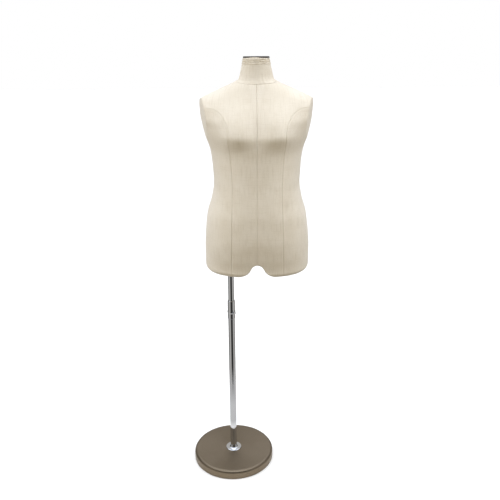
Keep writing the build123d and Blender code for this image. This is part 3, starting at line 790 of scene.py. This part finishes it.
def side_panel(way, seed):
    """Left side-front (-1) or side-back (+1) panel."""
    rows = side_rows(way)
    points = panel(rows, lambda row: princess_angle(row, way), lambda row: arm_edge(row, way), SIDE_COLUMNS)
    in_arm = rows <= ARM_LOW + 1e-6
    edges = [
        (points[-1], HEM), (points[:, 0], SEAM),
        (points[in_arm, -1], ARM), (points[rows >= ARM_LOW - 1e-6, -1], SEAM),
    ]
    moved, nearest = shaped(points, edges, seed)
    return {"points": moved, "nearest": nearest, "rows": rows, "arm": in_arm}


def arm_loop(front, side_front, side_back, back):
    """The armhole's rim, from the top down the front and up the back."""
    line = [front["points"][front["arm"], -1], side_front["points"][side_front["arm"], -1],
            side_back["points"][side_back["arm"], -1][::-1], back["points"][back["arm"], -1][::-1]]
    return tidy_loop(np.vstack(line))


def tidy_loop(loop, spacing=2.2):
    """A closed loop of points resampled evenly, without repeats."""
    loop = np.vstack([loop, loop[:1]])
    run = run_length(loop)
    keep = np.concatenate([[True], np.diff(run) > 1e-6])
    loop, run = loop[keep], run[keep]
    at = np.linspace(0, run[-1], int(run[-1] / spacing) + 1)[:-1]
    return np.stack([np.interp(at, run, loop[:, k]) for k in range(3)], -1)


def hem_loop(front, side_front, side_back, back):
    """The hem's rim on one thigh, closed by a straight line along the gap."""
    line = [front["points"][-1], side_front["points"][-1], side_back["points"][-1][::-1],
            back["points"][-1][::-1]]
    return tidy_loop(np.vstack(line))


def cover_side(side, seed):
    """The four long panels, the armhole plate and the hem disc of one side."""
    word = "left" if side > 0 else "right"
    front, back = centre_panel(-1, seed), centre_panel(1, seed + 1)
    side_front, side_back = side_panel(-1, seed + 2), side_panel(1, seed + 3)
    parts = {"front": front, "side_front": side_front, "back": back, "side_back": side_back}
    for name, part in parts.items():
        points = part["points"]
        linen_piece(f"linen_{name}_{word}", points, grid_faces(*points.shape[:2]),
                    cloth_of_grid(points, part["nearest"], points[:, 0, 0]), side,
                    from_axis, [f"cover_{name}_{word}"])

    loop = arm_loop(front, side_front, side_back, back)
    plane = np.array([ARM_HALF, ARM_Y, -ARM_DEPTH])
    centre = loop.mean(axis=0)
    centre = centre - ARM_NORMAL * ((centre - plane) @ ARM_NORMAL)
    points, faces, cloth, cut = disc(loop, centre, ARM_NORMAL, 0, seed + 4, ARM, dome=2.0)
    outward = Vector((side * ARM_NORMAL[0], ARM_NORMAL[1], ARM_NORMAL[2]))
    linen_piece(f"linen_arm_{word}", points, faces, cloth, side, lambda c: outward,
                [f"arm_cover_{word}"])

    loop = hem_loop(front, side_front, side_back, back)
    hole_r = 0 if side > 0 else POLE_HOLE_R
    centre = np.array([abs(POLE_X), 0.0, -HEIGHT])
    points, faces, cloth, cut = disc(loop, centre, [0, 0, -1], hole_r, seed + 5, HEM)
    linen_piece(f"linen_stump_{word}", points, faces, cloth, side,
                lambda c: Vector((0, 0, -1)), [f"stump_cover_{word}"])
    return front, back


def gusset(left, right):
    """The strip of linen that lines the gap between the thighs, from front to back."""
    lines = []
    for part, side in ((right, -1), (left, 1)):
        front, back = part
        edge_front = front["points"][front["gap"], 0] * [side, 1, 1]
        edge_back = back["points"][back["gap"], 0] * [side, 1, 1]
        at, run = front["rows"][front["gap"]], back["rows"][back["gap"]]
        edge_back = np.stack([np.interp(at, run, edge_back[:, k]) for k in range(3)], -1)
        t = (1 - np.cos(math.pi * np.linspace(0, 1, GUSSET_COLUMNS)))[None, :, None] / 2
        lines.append(edge_front[:, None] * (1 - t) + edge_back[:, None] * t)
    points = np.vstack([lines[0][::-1], lines[1][1:]])
    # Both ends are tucked in behind the covers under the thighs.
    for out, up in TUCK:
        points = np.vstack([points[:1] + [-out, 0, up], points, points[-1:] + [out, 0, up]])
    normal = np.cross(np.gradient(points, axis=1), np.gradient(points, axis=0))
    normal /= np.linalg.norm(normal, axis=-1, keepdims=True)
    if normal[len(points) // 2, GUSSET_COLUMNS // 2, 2] > 0:
        normal = -normal
    distance = np.minimum(*[nearness(points, points[:, side])[0] for side in (0, -1)])
    slack = waviness(points, 71) * 1.5 * (1 - np.exp(-distance / 6.0))
    points = points + normal * slack[..., None]
    linen_piece("linen_gusset", points, grid_faces(*points.shape[:2]),
                cloth_of_grid(points, distance), 1, lambda c: Vector((0, 0, -1)))


def neck_cover():
    """The neck's band, gathered under the cap; its rim rises unevenly over the cap's edge."""
    rows = joined(steps(0, 8, 0.5), steps(8, 30, 0.7), steps(30, 56, 1.4),
                  NECK_SEAM - steps(0, 8, 0.5, 1.3))
    angles = np.linspace(0, 2 * math.pi, 241)[:-1]
    angles = np.where(angles > math.pi, angles - 2 * math.pi, angles)
    draw = np.random.default_rng(5)

    def wave(count, low, high):
        return sum(draw.uniform(0.5, 1.0) * np.sin(n * angles + draw.uniform(0, 2 * math.pi))
                   for n in range(low, high)) / count

    front = np.exp(-((angles + math.pi / 2 + 0.1) / 0.42) ** 2)
    rise = 2.4 * front + 0.9 * wave(3, 2, 6) ** 2
    start = CAP_DEPTH - np.clip(rise, 0, CAP_DEPTH - 1.2)
    grid = []
    for row in rows:
        t = row / NECK_SEAM
        share = t * t * (3 - 2 * t)
        depth = start * (1 - t) ** 4 + CAP_DEPTH * ((1 - t) - (1 - t) ** 4) + row
        tilted = depth - share * NECK_TILT * skin(angles, depth)[1]
        depth = np.where(t >= 1, warped(np.array(NECK_SEAM), angles), tilted)
        grid.append(surface(angles, depth))
    points = np.array(grid)
    depth = -points[..., 2]
    closed = np.concatenate([points, points[:, :1]], axis=1)
    normal = grid_normals(np.concatenate([points[:, -1:], closed], axis=1))[:, 1:-1]
    inward = (points[..., :2] * normal[..., :2]).sum(axis=-1, keepdims=True) < 0
    normal = np.where(inward, -normal, normal)

    drift = 2.2 * wave(3, 1, 6) + 0.9 * wave(4, 5, 14)
    fold = np.zeros(points.shape[:2])
    for period, height in NECK_FOLDS:
        strength = np.clip(1.0 + 0.4 * wave(3, 2, 9), 0.7, 1.4)
        phase = 2 * math.pi * (depth + drift) / period
        fold += height * strength * (np.sin(phase) + 0.25 * np.sin(2 * phase + 0.8))
        drift = drift + 1.4 * wave(3, 3, 12)
    band = smooth((depth - CAP_DEPTH + 1.0) / 3.0) * smooth((FOLDS_END - depth) / 8)
    foot = smooth((depth - 40) / 18)
    gathers = 0.35 * foot * wave(4, 16, 34)
    distance = nearness(points, closed[-1])[0]
    top_distance = depth - depth[0]
    deep = np.maximum(rolled(distance, SEAM[0]), rolled(top_distance, 1.6))
    rise = (fold * band + gathers) * np.clip(distance / 3, 0, 1)
    rise = rise + waviness(points, 55) * np.clip(distance / 6, 0, 1)
    points = points + normal * (rise - deep + 0.6 * band)[..., None]
    nearest = np.minimum(distance, top_distance + 1.5)
    u = np.broadcast_to(angles * NECK_R, depth.shape)
    cloth = (np.stack([u, depth, nearest], -1) * MM).reshape(-1, 3)
    linen_piece("linen_neck", points, grid_faces(len(rows), len(angles), closed=True), cloth,
                1, from_axis, ["neck_cover"])


left = cover_side(1, 100)
right = cover_side(-1, 200)
gusset(left, right)
neck_cover()


# ---- wadding under the cover ---------------------------------------------------

PAD_IN, PAD_THICK = 3.6, 4.0                      # how far under the cover's skin, and how thick
PAD_GRID = 84


def wadding(way, name, node, seed):
    """Half of the wadding: front (-1) or back (+1), drawn in under the cover."""
    rows = np.linspace(14, GAP_TOP - 9, PAD_GRID)
    angles = way * np.linspace(0.015, math.pi - 0.015, PAD_GRID)
    points = np.array([surface(angles, np.full_like(angles, row)) for row in rows])
    normal = grid_normals(points)
    lumps = waviness(points, seed) * 1.2
    points = points - normal * (PAD_IN - np.clip(lumps, -0.8, 0.8))[..., None]
    for side in (-1, 1):
        beyond = (points * [side, 1, 1] - [ARM_HALF, ARM_Y, -ARM_DEPTH]) @ ARM_NORMAL + PAD_IN
        push = np.clip(beyond, 0, None)[..., None] * ARM_NORMAL * [side, 1, 1]
        points = points - push
    piece = new_piece(name, to_frame(points).reshape(-1, 3), grid_faces(*points.shape[:2]), WADDING,
                      "torso")
    face_outwards(piece.data, from_axis)
    thicken(piece, PAD_THICK)
    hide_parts(node)


wadding(-1, "wadding_front", "padding_front", 31)
wadding(1, "wadding_back", "padding_back", 32)


# ---- studio --------------------------------------------------------------------

def floor_material():
    """Plain pale floor with a barely visible grain."""
    m = Nodes("floor")
    place = m.add("ShaderNodeTexCoord").outputs["Object"]
    fine = m.noise(place, 160.0, 3.0)
    tone = m.mix(m.span(fine, 0.4, 0.6, 0.0, 1.0), (0.90, 0.87, 0.81, 1), (0.92, 0.89, 0.83, 1))
    m.set(color=tone, roughness=0.9, specular=0.1)
    return m.material


bpy.ops.mesh.primitive_plane_add(size=40, location=(0, 6, 0))
floor = bpy.context.object
floor.name = "studio_floor"
floor.data.materials.append(floor_material())
floor.visible_diffuse = False
floor.visible_glossy = False


def sheet_material():
    """A sheet seen only in reflections: painted light makes it pale near the pole and darker farther out, and
    it thins out to nothing away from the pole.
    """
    m = Nodes("sheet")
    x, y, z = m.add("ShaderNodeSeparateXYZ", {0: m.add("ShaderNodeTexCoord").outputs["Object"]}).outputs
    radius = m.math("SQRT", m.math("ADD", m.math("MULTIPLY", x, x), m.math("MULTIPLY", y, y)))
    # Painted reflection: the sheet is lighter near the pole than farther out, so the base's rim and the
    # pole's foot reflect it brightly.
    tone = m.mix(m.span(radius, 0.18, 0.25, 0.0, 1.0), (0.82, 0.78, 0.71, 1), (0.40, 0.38, 0.35, 1))
    m.set(color=tone, roughness=0.9, specular=0.1)
    m.put(m.shader.inputs["Alpha"], m.span(radius, 0.38, 0.72, 1.0, 0.0))
    return m.material


# A pale sheet on the floor that only shows as a reflection in the metal.
bpy.ops.mesh.primitive_plane_add(size=1.6, location=(0, 0, 0.001))
sheet = bpy.context.object
sheet.name = "studio_sheet"
sheet.data.materials.append(sheet_material())
sheet.visible_camera = False
sheet.visible_diffuse = False
sheet.visible_shadow = False


def area_light(name, place, target, size, power, color):
    lamp = bpy.data.lights.new(name, "AREA")
    lamp.shape = "RECTANGLE"
    lamp.size, lamp.size_y = size
    lamp.energy = power
    lamp.color = color
    holder = bpy.data.objects.new(name, lamp)
    holder.location = place
    holder.rotation_euler = (Vector(target) - Vector(place)).to_track_quat("-Z", "Y").to_euler()
    bpy.context.scene.collection.objects.link(holder)
    return holder


CHEST = (MIDDLE_X * MM, 0.0, (TOP_Z - HEIGHT * 0.3) * MM)
area_light("key_light", (0.12, -1.25, 2.6), CHEST, (2.9, 1.1), 12, (0.94, 1.0, 1.12))
for name, place, target, size, power, color in (
        ("right_light", (2.3, -0.1, 2.0), CHEST, (1.0, 1.8), 17.5, (0.96, 1.0, 1.08)),
        ("left_light", (-2.2, 0.1, 1.5), CHEST, (1.0, 2.0), 18, (0.96, 1.0, 1.08)),
        ("fill_light", (0.1, -2.6, 0.9), CHEST, (2.6, 1.2), 10.5, (1.0, 0.85, 0.52))):
    area_light(name, place, target, size, power, color).visible_glossy = False


def studio_world():
    """White to the camera; a bright ceiling, and walls in dark and pale upright bands."""
    made = bpy.data.worlds.new("studio")
    made.use_nodes = True
    tree = made.node_tree

    def add(kind, inputs, **settings):
        node = tree.nodes.new(kind)
        for key, value in settings.items():
            setattr(node, key, value)
        for key, value in inputs.items():
            if isinstance(value, bpy.types.NodeSocket):
                tree.links.new(value, node.inputs[key])
            else:
                node.inputs[key].default_value = value
        return node

    away = tree.nodes.new("ShaderNodeTexCoord").outputs["Generated"]
    x, y, z = add("ShaderNodeSeparateXYZ", {0: away}).outputs
    front = add("ShaderNodeMath", {0: y, 1: -1.0}, operation="MULTIPLY").outputs[0]
    turn = add("ShaderNodeMath", {0: x, 1: front}, operation="ARCTAN2").outputs[0]
    share = add("ShaderNodeMapRange", {"Value": turn, "From Min": -math.pi, "From Max": math.pi})
    ramp = add("ShaderNodeValToRGB", {"Fac": share.outputs["Result"]})
    # Degrees round from the front (+ is towards +X) and the brightness there.
    bands = [(-180, 0.75), (-140, 0.70), (-128, 0.12), (-104, 0.12), (-84, 0.75), (-34, 0.65), (-18, 0.05),
             (34, 0.04), (50, 0.65), (96, 0.75), (112, 0.12), (130, 0.12), (142, 0.70), (180, 0.75)]
    stops = ramp.color_ramp.elements
    while len(stops) < len(bands):
        stops.new(0.5)
    for stop, (degrees, level) in zip(stops, bands):
        stop.position = (degrees + 180) / 360
        stop.color = (level, level * 0.97, level * 0.92, 1.0)
    above = add("ShaderNodeMapRange", {"Value": z, "From Min": 0.66, "From Max": 0.80}).outputs["Result"]
    room = add("ShaderNodeMix", {"Factor": above}, data_type="RGBA")
    tree.links.new(ramp.outputs["Color"], room.inputs["A"])
    room.inputs["B"].default_value = (2.15, 2.3, 2.6, 1.0)
    ray = tree.nodes.new("ShaderNodeLightPath").outputs
    gloss = add("ShaderNodeMath", {0: ray["Is Glossy Ray"], 1: 0.35}, operation="MULTIPLY").outputs[0]
    calm = add("ShaderNodeMix", {"Factor": gloss}, data_type="RGBA")
    tree.links.new(room.outputs["Result"], calm.inputs["A"])
    calm.inputs["B"].default_value = grey(0.0)
    seen = add("ShaderNodeMix", {"Factor": ray["Is Camera Ray"]}, data_type="RGBA")
    tree.links.new(calm.outputs["Result"], seen.inputs["A"])
    seen.inputs["B"].default_value = grey(1.0)
    tree.links.new(seen.outputs["Result"], tree.nodes["Background"].inputs["Color"])
    return made


bpy.context.scene.world = studio_world()
bpy.context.scene.view_settings.view_transform = "Standard"

CAMERA_PLACE = (0.0711, -2.0690, 1.5510)
CAMERA_LENS = 43.3
CAMERA_DOWN, CAMERA_ROLL = math.radians(18.16), math.radians(-0.4)

camera_data = bpy.data.cameras.new("camera")
camera_data.lens = CAMERA_LENS
camera_data.sensor_width = 36.0
camera = bpy.data.objects.new("camera", camera_data)
camera.location = CAMERA_PLACE
aim = Matrix.Rotation(math.pi / 2 - CAMERA_DOWN, 3, "X") @ Matrix.Rotation(CAMERA_ROLL, 3, "Z")
camera.rotation_euler = aim.to_euler()
bpy.context.scene.collection.objects.link(camera)
bpy.context.scene.camera = camera
